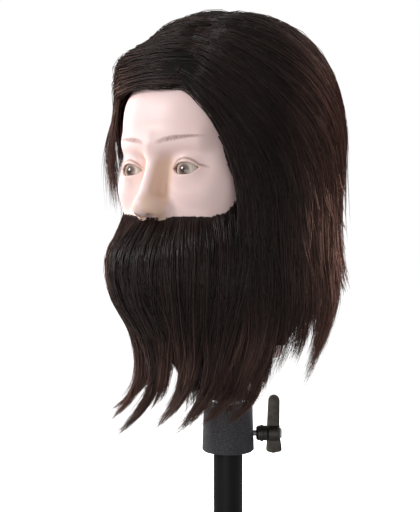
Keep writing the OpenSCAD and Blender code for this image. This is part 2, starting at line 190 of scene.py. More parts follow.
def head_sdf(P):
    """The bare head with its features, which are symmetric: x is folded to +X."""
    Q = P.copy()
    Q[..., 0] = np.sqrt(Q[..., 0] ** 2 + 0.04)
    d = head_base(Q)
    x, y, z = Q[..., 0], Q[..., 1], Q[..., 2]
    near = (y < -40) & (z > 290) & (z < 480)
    q = Q[near]
    g = d[near]
    g = smin(g, ell(q, (44, -76, 404), (19, 18, 26)), 14)  # cheek
    g = smin(g, ell(q, (32, -87, 400), (17, 13, 13)), 12)  # below the eye
    g = smin(g, ell(q, (0, -92, 322), (21, 15, 16)), 12)  # chin
    g = smin(g, ell(q, (0, -97, 352), (26, 16, 20)), 10)  # mouth
    g = smax(g, -ell(q, (31, -113, 421.5), (20, 12.0, 11)), 13)  # hollow of the eye
    g = smax(g, -ell(q, (18, -119, 424), (8, 13, 10)), 9)
    g = smin(g, cap(q, (0, -105, 438.5), (40, -91, 441), 6.5, 6), 12)  # brow
    g = smin(g, cap(q, (0, -99, 436), (0, -116, 388), 6.2, 8.0), 9)  # bridge of the nose
    g = smin(g, ell(q, (0, -117.0, 385.0), (10.0, 10.0, 9.2)), 6)  # tip
    g = smin(g, ell(q, (10.0, -109.0, 383), (6.5, 9.0, 7.0)), 9)  # wing
    g = smax(g, -ell(q, (6.6, -115, 375.4), (3.6, 6.0, 4.2)), 2)  # nostril
    g = smin(g, cap(q, (0, -111.5, 361), (15, -105, 358), 4.4, 2.6), 4)  # lips
    g = smin(g, cap(q, (0, -110.5, 350), (12, -105, 351), 5, 3), 4)
    e = q - EYE
    re = np.sqrt((e ** 2).sum(-1))
    u, v = eye_local(q)
    up, lo = lids(u)
    up = np.where(np.abs(u) < LID_END, up, -3.0)
    lo = np.where(np.abs(u) < LID_END, lo, 3.0)
    lid = re - (EYE_R + 1.8 + 0.35 * sstep(-v, 2, 7))
    g = smin(g, lid, 8.0)
    slit = np.maximum(v - up, lo - v)
    slit = np.maximum(slit, q[:, 1] + 84)
    g = smax(g, -slit, 0.9)
    g = np.maximum(g, -(re - (EYE_R + 0.12)))
    d[near] = g
    return np.maximum(d, NECK_FOOT - z)


def grad(f, P, h=0.25):
    """Gradient of f, by differences over h either way."""
    g = np.empty_like(P)
    for k in range(3):
        o = np.zeros(3)
        o[k] = h
        g[..., k] = (f(P + o) - f(P - o)) / (2 * h)
    return g


def surface_nets(f, xs, ys, zs):
    """Closed quad mesh of f = 0 on a grid whose steps may vary."""
    V = np.empty((len(xs), len(ys), len(zs)), np.float32)
    YZ = np.stack(np.meshgrid(ys, zs, indexing="ij"), -1)
    for i, x in enumerate(xs):
        P = np.concatenate([np.full(YZ.shape[:2] + (1,), x), YZ], -1)
        V[i] = f(P.reshape(-1, 3)).reshape(YZ.shape[:2])
    V[V == 0] = 1e-5
    inside = V < 0
    n = [s - 1 for s in V.shape]
    corners = [(i, j, k) for i in (0, 1) for j in (0, 1) for k in (0, 1)]
    cnt = np.zeros(n, np.int16)
    for i, j, k in corners:
        cnt += inside[i:n[0] + i, j:n[1] + j, k:n[2] + k]
    c = np.argwhere((cnt > 0) & (cnt < 8))  # the cells that the surface passes through
    acc = np.zeros((len(c), 3))
    num = np.zeros(len(c))
    G = (xs, ys, zs)
    for a in corners:
        for ax in range(3):
            if a[ax]:
                continue
            b = list(a)
            b[ax] = 1
            ia, ib = c + np.array(a), c + np.array(b)
            va = V[ia[:, 0], ia[:, 1], ia[:, 2]].astype(float)
            vb = V[ib[:, 0], ib[:, 1], ib[:, 2]].astype(float)
            m = (va < 0) != (vb < 0)
            t = np.where(m, va / np.where(m, va - vb, 1), 0)
            for k in range(3):
                pa, pb = G[k][ia[:, k]], G[k][ib[:, k]]
                acc[:, k] += np.where(m, pa + t * (pb - pa), 0)
            num += m
    P = acc / num[:, None]
    idx = -np.ones(n, np.int64)
    idx[tuple(c.T)] = np.arange(len(c))
    faces = []
    for ax in range(3):
        o1, o2 = (ax + 1) % 3, (ax + 2) % 3
        sl0 = [slice(1, -1)] * 3
        sl0[ax] = slice(0, V.shape[ax] - 1)
        sl1 = list(sl0)
        sl1[ax] = slice(1, V.shape[ax])
        s0, s1 = inside[tuple(sl0)], inside[tuple(sl1)]
        e = np.argwhere(s0 != s1)
        flip = s0[tuple(e.T)]
        base = e.copy()
        base[:, o1] += 1
        base[:, o2] += 1

        def cell(d1, d2):
            q = base.copy()
            q[:, o1] -= d1
            q[:, o2] -= d2
            return idx[tuple(q.T)]

        quad = np.stack([cell(1, 1), cell(0, 1), cell(0, 0), cell(1, 0)], -1)
        quad[~flip] = quad[~flip][:, ::-1]
        faces.append(quad)
    F = np.concatenate(faces)
    F = F[(F >= 0).all(1)]
    for _ in range(2):  # onto the surface itself
        g = grad(f, P)
        s = f(P) / np.maximum((g ** 2).sum(-1), 1e-3)
        P = P - np.clip(s[:, None] * g, -0.6, 0.6)
    return P, F


def graded(stops):
    """Grid lines from (start, step) pairs and an end, in mm."""
    out = [stops[0][0]]
    for (a, h), (b, _) in zip(stops[:-1], stops[1:]):
        n = max(1, round((b - a) / h))
        out += list(a + (b - a) * (np.arange(n) + 1) / n)
    return np.array(out)


def raw_mesh(name, P, *faces):
    """Smooth mesh object from points in metres and arrays of faces, such as quads and triangles."""
    me = bpy.data.meshes.new(name)
    me.vertices.add(len(P))
    me.vertices.foreach_set("co", P.ravel())
    loops = np.concatenate([f.ravel() for f in faces]).astype(np.int32)
    me.loops.add(len(loops))
    me.loops.foreach_set("vertex_index", loops)
    sizes = np.concatenate([np.full(len(f), f.shape[1]) for f in faces])
    me.polygons.add(len(sizes))
    me.polygons.foreach_set("loop_start", (np.cumsum(sizes) - sizes).astype(np.int32))
    me.polygons.foreach_set("use_smooth", np.ones(len(sizes), bool))
    me.update(calc_edges=True)
    ob = bpy.data.objects.new(name, me)
    bpy.context.scene.collection.objects.link(ob)
    return ob


def mesh_object(name, P, F, mat):
    ob = raw_mesh(name, np.asarray(P, np.float32) * MM, F)
    ob.data.validate()
    ob.data.materials.append(mat)
    return ob


def point_values(ob, name, values):
    """A value for each vertex, for the materials to read."""
    at = ob.data.attributes.new(name, "FLOAT", "POINT")
    at.data.foreach_set("value", values.astype(np.float32))


# -------------------- materials
def lin(h):
    """Linear colour from a hex string."""
    c = [int(h[i:i + 2], 16) / 255 for i in (1, 3, 5)]
    return [v / 12.92 if v <= 0.04045 else ((v + 0.055) / 1.055) ** 2.4 for v in c] + [1.0]


class Mat:
    def __init__(self, name, color, rough, metal=0.0):
        self.material = bpy.data.materials.new(name)
        self.material.use_nodes = True
        self.tree = self.material.node_tree
        self.shader = self.tree.nodes["Principled BSDF"]
        self.set("Base Color", lin(color))
        self.set("Roughness", rough)
        self.set("Metallic", metal)

    def set(self, socket, value):
        self.shader.inputs[socket].default_value = value

    def node(self, kind, **kw):
        """New node; each keyword names an input or a property."""
        nd = self.tree.nodes.new(kind)
        for k, v in kw.items():
            if k in nd.inputs:
                nd.inputs[k].default_value = v
            else:
                setattr(nd, k, v)
        return nd

    def link(self, a, b):
        self.tree.links.new(a, b)

    def obj(self, scale=(1, 1, 1)):
        tc = self.node("ShaderNodeTexCoord")
        mp = self.node("ShaderNodeMapping")
        mp.inputs["Scale"].default_value = scale
        self.link(tc.outputs["Object"], mp.inputs["Vector"])
        return mp.outputs["Vector"]

    def noise(self, vec, scale, detail=3.0, rough=0.5):
        nd = self.node("ShaderNodeTexNoise", Scale=scale, Detail=detail, Roughness=rough)
        self.link(vec, nd.inputs["Vector"])
        return nd.outputs["Fac"]

    def ramp(self, fac, stops):
        nd = self.node("ShaderNodeValToRGB")
        cr = nd.color_ramp
        while len(cr.elements) < len(stops):
            cr.elements.new(0.5)
        for e, (p, c) in zip(cr.elements, stops):
            e.position = p
            e.color = lin(c) if isinstance(c, str) else (c, c, c, 1)
        self.link(fac, nd.inputs["Fac"])
        return nd.outputs["Color"]

    def mix(self, fac, a, b):
        nd = self.node("ShaderNodeMix", data_type="RGBA")
        for s, v in ((nd.inputs[0], fac), (nd.inputs[6], a), (nd.inputs[7], b)):
            if isinstance(v, str):
                s.default_value = lin(v)
            elif isinstance(v, (int, float)):
                s.default_value = v
            else:
                self.link(v, s)
        return nd.outputs[2]

    def bump(self, fac, strength, dist):
        nd = self.node("ShaderNodeBump", Strength=strength, Distance=dist)
        self.link(fac, nd.inputs["Height"])
        self.link(nd.outputs["Normal"], self.shader.inputs["Normal"])

    def math(self, operation, *values):
        nd = self.node("ShaderNodeMath", operation=operation)
        for s, v in zip(nd.inputs, values):
            if isinstance(v, float):
                s.default_value = v
            else:
                self.link(v, s)
        return nd.outputs[0]

    def point(self, name):
        return self.node("ShaderNodeAttribute", attribute_name=name).outputs["Fac"]

    def color(self, out):
        self.link(out, self.shader.inputs["Base Color"])

    def rough(self, fac, lo, hi):
        nd = self.node("ShaderNodeMapRange")
        nd.inputs["To Min"].default_value = lo
        nd.inputs["To Max"].default_value = hi
        self.link(fac, nd.inputs["Value"])
        self.link(nd.outputs["Result"], self.shader.inputs["Roughness"])


def coat(name, color, speck, rough, amount=0.5, grain=1400.0, spec=0.5):
    m = Mat(name, color, rough)
    m.set("Specular IOR Level", spec)
    v = m.obj()
    fine = m.noise(v, grain, 2.0)
    m.color(m.mix(m.ramp(fine, [(0.42, 0.0), (0.68, amount)]), color, speck))
    m.bump(fine, 0.25, 0.0002)
    m.rough(m.noise(v, 60.0), rough - 0.08, rough + 0.1)
    return m.material


def metal(name, color, dark, rough):
    m = Mat(name, color, rough, 1.0)
    v = m.obj()
    a = m.noise(v, 160.0, 4.0)
    m.color(m.mix(m.ramp(a, [(0.3, 0.0), (0.75, 1.0)]), color, dark))
    m.rough(m.noise(v, 420.0, 3.0), rough - 0.07, rough + 0.12)
    m.bump(a, 0.08, 0.0002)
    return m.material


def plastic(name, color, dark, rough, grain=900.0):
    m = Mat(name, color, rough)
    v = m.obj()
    m.color(m.mix(m.ramp(m.noise(v, 35.0), [(0.35, 0.0), (0.7, 1.0)]), color, dark))
    m.bump(m.noise(v, grain, 2.0), 0.12, 0.0001)
    m.rough(m.noise(v, 90.0), rough - 0.05, rough + 0.08)
    return m.material


MATS = {name: make(name, *values) for name, make, *values in (
    ("frame_coat", coat, "#1d1e21", "#3a3b40", 0.45),
    ("pole_coat", coat, "#060607", "#101013", 0.5, 0.4, 1400.0, 0.25),
    ("collar_coat", coat, "#313033", "#68676d", 0.65, 0.5, 1100.0, 0.3),
    ("die_cast", metal, "#57534f", "#403d3a", 0.36),
    ("zinc", metal, "#c6c7c9", "#a6a7aa", 0.3),
    ("chrome_tube", metal, "#d2d3d5", "#bfc0c3", 0.14),
    ("brass", metal, "#c5a252", "#a98438", 0.32),
    ("nylon", plastic, "#dedbd0", "#cfcbbd", 0.5),
    ("plug_plastic", plastic, "#161719", "#202124", 0.5),
    ("cap_plastic", plastic, "#151517", "#1f1f22", 0.55),
    ("base_plastic", plastic, "#e6d0c4", "#dcc3b5", 0.5),
    ("pad_rubber", plastic, "#131314", "#1d1d1e", 0.8, 1600.0),
    ("foam", plastic, "#efe6c8", "#e0d5b2", 0.9, 1200.0),
)}


def skin_material():
    m = Mat("skin", "#f2d9d2", 0.42)
    m.set("Subsurface Weight", 0.12)
    m.set("Subsurface Radius", (0.6, 0.25, 0.15))
    m.set("Subsurface Scale", 0.006)
    v = m.obj()
    base = m.mix(m.ramp(m.noise(v, 22.0, 2.0), [(0.3, 0.0), (0.75, 0.6)]), "#f3d7d5", "#efd0ca")
    # tan tint with painted shade on the nose's flanks, and painted warm shade at the temples
    c = m.mix(m.point("tan"), base, "#e9c5aa")
    hair = m.noise(m.obj((1400, 1400, 260)), 1.0, 2.0)
    edge = m.ramp(hair, [(0.3, 0.45), (0.6, 1.0)])
    c = m.mix(m.math("MULTIPLY", m.point("brow"), edge), c, "#a98a85")
    # lash lines, and painted shade in the lid crease
    c = m.mix(m.point("lid"), c, "#a3806c")
    m.color(c)
    m.rough(m.noise(v, 70.0), 0.36, 0.5)
    m.bump(m.noise(v, 900.0, 2.0), 0.05, 0.0001)
    return m.material


def hair_material(name, dark, mid, red_and_backlight):
    rough = 0.38
    m = Mat(name, dark, rough)
    m.set("Specular IOR Level", 0.36)
    v = m.obj((1, 1, 0.08))
    s = m.noise(v, 420.0, 2.0)
    c = m.mix(m.ramp(s, [(0.35, 0.0), (0.7, 1.0)]), dark, mid)
    # red-brown tone mixed with painted backlight shining through thin hair
    m.color(m.mix(m.point("red_and_rim_light"), c, red_and_backlight))
    m.rough(m.noise(v, 160.0), rough - 0.06, rough + 0.12)
    return m.material


def under_material():
    m = Mat("hair_under", "#0b0807", 0.7)
    m.color(m.mix(m.noise(m.obj((1, 1, 0.1)), 300.0), "#080606", "#120d0c"))
    m.set("Specular IOR Level", 0.15)
    return m.material


def eye_material():
    m = Mat("eye", "#e4ddd0", 0.06)
    m.set("Coat Weight", 1.0)
    m.set("Coat Roughness", 0.02)
    tc = m.node("ShaderNodeTexCoord")
    sep = m.node("ShaderNodeSeparateXYZ")
    m.link(tc.outputs["Object"], sep.inputs[0])
    x2 = m.math("POWER", sep.outputs["X"], 2.0)
    z2 = m.math("POWER", sep.outputs["Z"], 2.0)
    mr = m.node("ShaderNodeMapRange")
    mr.inputs["From Max"].default_value = 0.012
    m.link(m.math("SQRT", m.math("ADD", x2, z2)), mr.inputs["Value"])
    ring = m.ramp(mr.outputs["Result"], [
        (0.0, "#1e1311"), (0.11, "#2a1c18"), (0.19, "#4a3630"), (0.29, "#6c5851"), (0.38, "#7c6961"),
        (0.46, "#a89a90"), (0.55, "#e6e0d8"), (0.85, "#e6dcd1"), (1.0, "#d0b0a0")])
    spokes = m.noise(m.obj(), 900.0, 2.0)
    m.color(m.mix(m.ramp(spokes, [(0.4, 0.0), (0.7, 0.25)]), ring, "#6b4a33"))
    m.rough(spokes, 0.04, 0.08)
    return m.material


M_SKIN = skin_material()
M_EYE = eye_material()
M_UNDER = under_material()
# the third colour of each is red-brown tone that also gives the painted backlight
HAIR = [hair_material("hair_dark", "#0b0908", "#140f0e", "#5e4138"),
        hair_material("hair_mid", "#110d0c", "#1d1513", "#8a665b")]
MATS.update(skin=M_SKIN, eye=M_EYE)
slot_of = {s["node"]: s["material_slot"] for s in frame["record"]["subparts"]}
for name, o in nodes.items():
    o.data.materials.clear()
    o.data.materials.append(MATS.get(slot_of.get(name), HAIR[0]))

# -------------------- head skin
def painted(P):
    """Shares of brow colour, of tan with painted shade, and of lid lines with a painted crease shade at each
    point of the skin.
    """
    x = np.abs(P[:, 0])
    z = P[:, 2]
    arch = np.interp(x, [0, 7, 16, 26, 38, 50], [438.8, 439.8, 442.2, 443.6, 444.7, 444.8])
    thick = np.interp(x, [6, 12, 24, 40, 51], [1.6, 2.3, 2.3, 1.3, 0.7])
    brow = np.clip((thick - np.abs(z - arch)) / 1.3 + 0.3, 0, 1)
    brow = brow * np.interp(x, [6, 10, 22, 44, 51], [0, 0.7, 1.35, 1.2, 0])
    brow = np.minimum(brow, 1.3) * (P[:, 1] < -50)
    tan = sstep(x, 2.0, 6) * (1 - sstep(x, 16, 19))  # the nose's flanks: partly tan tint, partly painted shade
    tan = tan * sstep(z, 368, 374) * (1 - sstep(z, 420, 434)) * (P[:, 1] < -94)
    side = np.degrees(np.arctan2(x, 8 - P[:, 1]))  # painted warm shade towards the temples
    tan = np.maximum(tan, 0.35 * sstep(side, 34, 48) * sstep(z, 380, 420))
    u, v = eye_local(np.stack([x, P[:, 1], z], -1))
    up, lo = lids(u)
    on_lid = (np.abs(u) < LID_END) & (P[:, 1] < -80)
    upper = np.clip(1.25 - np.abs(v - up) / 1.3, 0, 1) * on_lid
    lower = np.clip(1.1 - np.abs(v - lo) / 1.2, 0, 1) * on_lid * 0.3
    fold = up + np.interp(u, [-1.1, -0.8, 0, 0.8, 1.25, 1.75], [2.2, 3.0, 3.9, 3.6, 2.0, -0.6])
    # painted shade in the lid's crease, above the upper lid
    crease_shade = np.clip(1.2 - np.abs(v - fold) / 1.2, 0, 1)
    crease_shade = crease_shade * np.interp(u, [-1.25, -0.8, 1.2, 1.75], [0, 1, 1, 0]) * (P[:, 1] < -70)
    # lash lines, together with the painted crease shade
    lid = np.maximum(np.maximum(upper * 0.9, crease_shade * 0.95), lower)
    return {"brow": brow * 0.85, "tan": tan * 0.75, "lid": lid}


FINE = 1.15
xs = graded([(-84, 3.2), (-50, FINE * 1.15), (50, 3.2), (84, 0)])
ys = graded([(-136, FINE * 1.2), (-78, 3.2), (100, 0)])
zs = graded([(236, 3.4), (338, FINE * 1.6), (370, FINE), (448, 3.2), (540, 0)])
P, F = surface_nets(head_sdf, xs, ys, zs)
skin = mesh_object("skin_shell", P, F, M_SKIN)
for name, values in painted(P).items():
    point_values(skin, name, values)
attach(skin, "head")
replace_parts(skin, "head_skin")


def eyeball(side, name, turn):
    """Glossy ball with a bulging cornea, closed behind by a flat cone."""
    n = 64
    th = np.linspace(0, math.radians(112), 40)[1:]
    ph = np.arange(n) * 2 * math.pi / n
    bulge = np.exp(-(np.degrees(th) / 24) ** 2)
    pts = [(0, -(EYE_R + 1.0), 0)]
    for a, r in zip(th, EYE_R + bulge):
        pts += [(r * math.sin(a) * math.cos(p), -r * math.cos(a), r * math.sin(a) * math.sin(p)) for p in ph]
    pts.append((0, -EYE_R * math.cos(th[-1]) * 0.98, 0))
    last = len(pts) - 1
    faces = [[0, 1 + (j + 1) % n, 1 + j] for j in range(n)]
    for i in range(len(th) - 1):
        for j in range(n):
            a, b = 1 + i * n + j, 1 + i * n + (j + 1) % n
            faces.append([a, b, b + n, a + n])
    faces += [[last - n + j, last - n + (j + 1) % n, last] for j in range(n)]
    me = bpy.data.meshes.new(name)
    me.from_pydata([tuple(c * MM for c in p) for p in pts], [], faces)
    me.polygons.foreach_set("use_smooth", [True] * len(me.polygons))
    me.materials.append(M_EYE)
    ob = bpy.data.objects.new(name, me)
    bpy.context.scene.collection.objects.link(ob)
    ob.location = Vector((side * EYE[0] * MM, EYE[1] * MM, EYE[2] * MM))
    ob.rotation_euler = (math.radians(1), 0, math.radians(turn))
    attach(ob, "head")
    return ob


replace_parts(eyeball(1, "eyeball_left", 6.0), "eye_left")
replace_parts(eyeball(-1, "eyeball_right", 0.0), "eye_right")

# -------------------- outlines of hair and beard
# Edge of the bare face on the mannequin's left and right: (height, angle round from the face)
EDGE_L = np.array([
    (150, 74), (300, 70), (340, 64), (372, 58), (390, 53), (402, 50.9), (407, 49), (416, 46.6),
    (424, 44.8), (434, 43.2), (444, 42.3), (455, 40.4), (462, 38.2), (470, 34.9), (477, 31.3),
    (483.5, 24.5), (487.2, 13.8), (489.3, 0), (491, -10)], float)
EDGE_R = np.array([
    (150, 74), (300, 70), (340, 64), (372, 60), (402, 58), (430, 57), (455, 56), (470, 54),
    (481, 50), (487, 43), (490, 25), (490.6, 10), (491.5, -10)], float)
FACE_TOP = 490.5
# Upper edge of the beard: (angle, height)
BEARD_TOP = np.array([
    (0, 376.8), (10, 376.6), (33, 377.8), (40, 380.5), (46, 387), (50, 397), (52, 404), (58, 414),
    (90, 430)], float)
# Stations (height, value) of the beard: half width, front and back of its outside, then of its inside
BW = [(150, 66), (198, 74), (213, 74), (240, 74), (270, 78), (300, 85), (328, 89), (350, 88), (376, 84),
      (400, 80)]
BF = [(150, -96), (198, -99), (213, -98), (240, -97), (270, -107), (300, -130), (328, -138), (350, -133),
      (372, -119), (380, -112), (400, -110)]
BB = [(150, 60), (600, 90)]
BIW = [(150, 50), (240, 52), (270, 54), (300, 58), (318, 60), (340, 64), (358, 67), (372, 70), (388, 72),
       (404, 73), (450, 75)]
BIF = [(150, -54), (240, -58), (270, -66), (300, -82), (312, -95), (320, -99), (340, -102), (358, -106),
       (372, -107), (388, -105), (404, -102), (450, -108)]
T_BW, T_BF, T_BB = table(BW, 4), table(BF, 3), table(BB)
T_BIW, T_BIF = table(BIW, 3), table(BIF, 3)


def head_section(z):
    """Half width, front and middle of the bare head at each height."""
    w = np.interp(z, ZT, T_HW)
    f = np.interp(z, ZT, T_HF)
    return w, f, middle(f, np.interp(z, ZT, T_HB))


def angle(P):
    """Angle round the head from the face, with its sign, in degrees."""
    w, f, m = head_section(P[..., 2])
    return np.degrees(np.arctan2(P[..., 0] / w, -(P[..., 1] - m) / (m - f)))


def beard_top(a):
    """Height of the beard's upper edge at an angle."""
    return np.interp(np.abs(a), BEARD_TOP[:, 0], BEARD_TOP[:, 1])


def in_face(P):
    """How far a point is inside the bare face zone, in mm."""
    z = P[..., 2]
    a = angle(P)
    left = np.interp(z, EDGE_L[:, 0], EDGE_L[:, 1])
    right = np.interp(z, EDGE_R[:, 0], EDGE_R[:, 1])
    return np.minimum((np.where(a > 0, left, right) - np.abs(a)) * 1.35, FACE_TOP - z)


def hair_env(P):
    """Outer limit of the hair: the envelope with the front lobe over the right temple."""
    return smin(envelope(P), ell(P, (-49, -79, 507), (17, 17, 20)), 16)


def fullness(P):
    """The hair lies thin on the right flank beside the cheek."""
    a, z = -angle(P), P[..., 2]
    across = 0.5 * sstep(a, 42, 54) * (1 - sstep(a, 78, 112))
    return 1 - across * sstep(z, 366, 384) * (1 - sstep(z, 425, 462))


def thickness(P, a):
    return np.maximum(a - hair_env(P), 4.0) * fullness(P)


def lam_scalp(P):
    """0 on the skin and 1 at the outer limit of the hair."""
    a = head_base(P)
    return a / thickness(P, a)


def beard_in(P):
    return loft(P, T_BIW, T_BIF, T_HB, HEAD_TOP, 2.4, 2.12, 0.5)


def beard_out(P):
    return loft(P, T_BW, T_BF, T_BB, HAIR_TOP, 2.2, 2.1)


def lam_beard(P):
    """0 inside the beard and 1 at its outer limit."""
    a = beard_in(P)
    return a / np.maximum(a - beard_out(P), 3.0)


# -------------------- where the hair is rooted
def unit(v, tiny=0.0):
    return v / (np.linalg.norm(v, axis=-1, keepdims=True) + tiny)


def onto_head(c, d, near, far):
    """Points where rays from c along d leave the bare head, which they do between two distances."""
    lo_t, hi_t = np.full(len(d), near), np.full(len(d), far)
    for _ in range(22):
        mid = (lo_t + hi_t) / 2
        v = head_base(c + d * mid[:, None])
        lo_t = np.where(v < 0, mid, lo_t)
        hi_t = np.where(v < 0, hi_t, mid)
    return c + d * hi_t[:, None]


def on_scalp(n, test):
    """Points spread evenly over the bare head for which test is true."""
    out = []
    while sum(len(o) for o in out) < n:
        d = unit(rng.normal(0, 1, (n * 3, 3)))
        P = onto_head(np.array([0, -5.0, 430.0]), d, 20.0, 210.0)
        out.append(P[test(P)])
    return np.concatenate(out)[:n]


def at_angle(a, z):
    """Points of the bare head at an angle and a height."""
    w, f, m = head_section(z)
    d = unit(np.stack([w * np.sin(np.radians(a)), (f - m) * np.cos(np.radians(a)), 0 * a], -1))
    return onto_head(np.stack([0 * a, m, z], -1), d, 10.0, 160.0)


def hair_root(P):
    z = P[:, 2]
    return (z > 300) & ~((in_face(P) > -1) & (P[:, 1] < 0)) & ~((z < 398) & (P[:, 1] < -22))


def beard_root(P):
    a = angle(P)
    return (P[:, 2] < beard_top(a)) & (P[:, 2] > 309) & (np.abs(a) < 78) & (P[:, 1] < 0)


def hair_node(root):
    """CAD node that each root belongs to."""
    side = np.where(root[:, 0] > 0, "hair_left", "hair_right")
    around = np.where(np.abs(angle(root)) > 122, "hair_back", side)
    return np.where(root[:, 2] > 497, "hair_top", around)


def beard_node(root):
    a, z = angle(root), root[:, 2]
    side = np.where(a > 0, "beard_left", "beard_right")
    front = np.where(np.abs(a) < 34, "beard_chin", side)
    return np.where((z > 358) & (np.abs(a) < 46), "moustache", front)


# -------------------- how it grows
TINY = 1e-9
TURN = 6.283  # radians
FREE_Z = 262.0  # hair hangs free below this height
LOWEST = 168  # strands that would hang lower are left out
SIDE_ROOM = ((0, -104, 104), (1, -139, 118))  # axis and limits that loose ends are eased to
SOFT = 12  # how far the easing lets them pass
MAX_STRANDS = 2400  # in one piece
DRAWS = 200  # end heights drawn for the locks, more than there are locks
SHARE = 1.0


def param(n, jit, flick=(0.5, 1.2)):
    """Traits of n guides: jitter, flick of the tips, offset from the parting, size and phase of the wave."""
    return {"jit": rng.normal(0, jit, (n, 3)), "flick": rng.uniform(flick[0], flick[1], n),
            "line": rng.normal(0, 13, n), "amp": rng.uniform(0.0, 0.32, n), "ph": rng.uniform(0, TURN, n)}


def either(share, a, b, n):
    """n values from range a, or from range b where a draw is above share."""
    return np.where(rng.random(n) < share, rng.uniform(*a, n), rng.uniform(*b, n))


def parting(y):
    """Where the parting runs, as x."""
    return 27 - 0.10 * np.clip(y + 90, 0, 200)


def sway(v, z, par, wave, wave_z, wave_over, flick_z, flick_over):
    """A slow wave below one height, a flick to the left of the picture below another, and the jitter."""
    v = v + R_DIR * (par["amp"] * np.sin(z / wave + par["ph"]) * sstep(wave_z - z, 0, wave_over))[:, None]
    v = v - R_DIR * (sstep(flick_z - z, 0, flick_over) * par["flick"])[:, None]
    return v + par["jit"]


def field_scalp(P, par):
    """Combed away from the parting on top and down at the sides."""
    x, y, z = P.T
    front_top = sstep(z, 476, 489) * sstep(-y, 50, 72) * sstep(x, -62, -46)
    top = np.maximum(sstep(z, 470, 528), front_top)[:, None]
    left = (0.5 + 0.5 * np.tanh((x - (parting(y) + par["line"])) / 7))[:, None]
    back = sstep(y, 5, 70)
    front = sstep(-y, 40, 85)
    up = sstep(z, 385, 480)
    top_l = np.stack([0.80 + 0 * x, 0.70 + 0.25 * back - 0.3 * front, -0.42 - 0.3 * front], -1)
    top_r = np.stack([-1.0 + 0 * x, 0.10 + 0.9 * back - 0.16 * front, -0.12 - 0.15 * back + 0.1 * front], -1)
    side_l = np.stack([0 * x, 0.05 + 0.95 * up * (1 - 0.6 * back), -1 + 0 * x], -1)
    side_r = np.stack([-0.12 * sstep(z, 420, 480), 0.05 + 0.2 * up, -1 + 0 * x], -1)
    on_top = top_l * left + top_r * (1 - left)
    at_side = side_l * left + side_r * (1 - left)
    return sway(on_top * top + at_side * (1 - top), z, par, 17.0, 500, 60, 302, 95)


def field_beard(P, par):
    x, y, z = P.T
    v = np.stack([0.08 * np.sign(x) * sstep(z, 320, 370), -0.1 * sstep(z, 300, 340) + 0 * x, -1 + 0 * x], -1)
    return sway(v, z, par, 14.0, 362, 50, 256, 54)


def field_loose(P, par):
    x, y, z = P.T
    out = sstep(z, 440, 500) * (0.8 + 0.03 * par["line"])
    back = 0.10 * sstep(462 - z, 0, 40)
    return np.stack([back - 0.55 * out, back - 0.34 * out, -1 + 0 * x], -1) + par["jit"]


def field_under(P, par):
    """Out past the jaw's edge, in towards the plug, then down with a flick."""
    x, y, z = P.T
    q = P[:, :2] / (np.linalg.norm(P[:, :2], axis=-1, keepdims=True) + 1e-6)
    v = np.stack([0 * x, 0 * x, -1 + 0 * x], -1)
    inward = 0.75 * sstep(FREE_Z - z, 0, 20) * sstep(z, 214, 234)
    v[:, :2] += q * (0.25 * sstep(z, 250, 290) - inward)[:, None]
    v = v - R_DIR * (sstep(226 - z, 0, 40) * par["flick"])[:, None]
    return v + par["jit"]


def clear_face(P):
    """Push points out of the bare face zone, with more room at its upper edge."""
    x, y, z = P.T
    room = np.where(z > 474, 5.5, 1 + 6 * sstep(z, 395, 425) * (x > 0))
    depth = np.clip(in_face(P) + room, 0, 7.0) * (y < 0) * (z > 372)
    push = np.stack([np.sign(x), 0.6 + 0 * depth, np.where(z > 476, 0.9, 0.0)], -1)
    return P + push * (depth * 0.7)[:, None]


def clear_pole(P):
    """Push points out of the neck plug, the pole and the collar."""
    r = np.hypot(P[:, 0], P[:, 1])
    rmin = np.interp(P[:, 2], [196, 206, 236, 244], [34, 28, 26, 50])
    m = (P[:, 2] < 244) & (r < rmin)
    P[m, :2] *= (rmin[m] / np.maximum(r[m], 1))[:, None]
    return P


def grow(roots, value, field, start, target, par, steps, ds, free_z=FREE_Z, rise=20.0, face=True):
    """Paths in steps of ds mm along a field. value runs from start to target, and is free below free_z."""
    P = roots.copy()
    for _ in range(8):  # out from the skin to the start value
        g = grad(value, P, 0.8)
        gl2 = np.maximum((g ** 2).sum(-1, keepdims=True), 1e-5)
        P = P + np.clip(start - value(P), -0.3, 0.3)[:, None] * g / gl2
    path, nor = [P.copy()], []
    prev = None
    for i in range(steps):
        g = grad(value, P, 0.8)
        gl = np.sqrt((g ** 2).sum(-1, keepdims=True)) + 1e-6
        n = g / gl
        nor.append(n)
        v = field(P, par)
        held = sstep(P[:, 2], free_z - 20, free_z + 18)[:, None]
        v = unit(v - (v * n).sum(-1, keepdims=True) * n * held, TINY)
        prev = unit(v if prev is None else 0.5 * prev + 0.5 * v, TINY)
        P = P + prev * ds
        wanted = start + (target - start) * sstep((i + 1) * ds, -4.0, rise)
        c = np.clip((value(P) - wanted) / gl[:, 0], -ds * 0.7, ds * 0.7)
        P = P - n * (c * held[:, 0])[:, None]
        if face:
            P = clear_face(P)
        P = clear_pole(P)
        path.append(P.copy())
    nor.append(n)
    return np.stack(path, 1), np.stack(nor, 1)


def arc_lengths(path):
    seg = np.linalg.norm(np.diff(path, axis=1), axis=-1)
    return np.concatenate([np.zeros((len(seg), 1)), np.cumsum(seg, 1)], 1)


def resample(path, nor, length, nseg):
    """Each path and its normals cut to its own length and divided into nseg parts."""
    cum = arc_lengths(path)
    t = np.linspace(0, 1, nseg + 1) ** 0.92
    q = np.minimum(length, cum[:, -1])[:, None] * t[None]
    out = np.empty((len(path), nseg + 1, 3))
    on = np.empty_like(out)
    for k in range(3):
        for i in range(len(path)):
            out[i, :, k] = np.interp(q[i], cum[i], path[i, :, k])
            on[i, :, k] = np.interp(q[i], cum[i], nor[i, :, k])
    return out, on


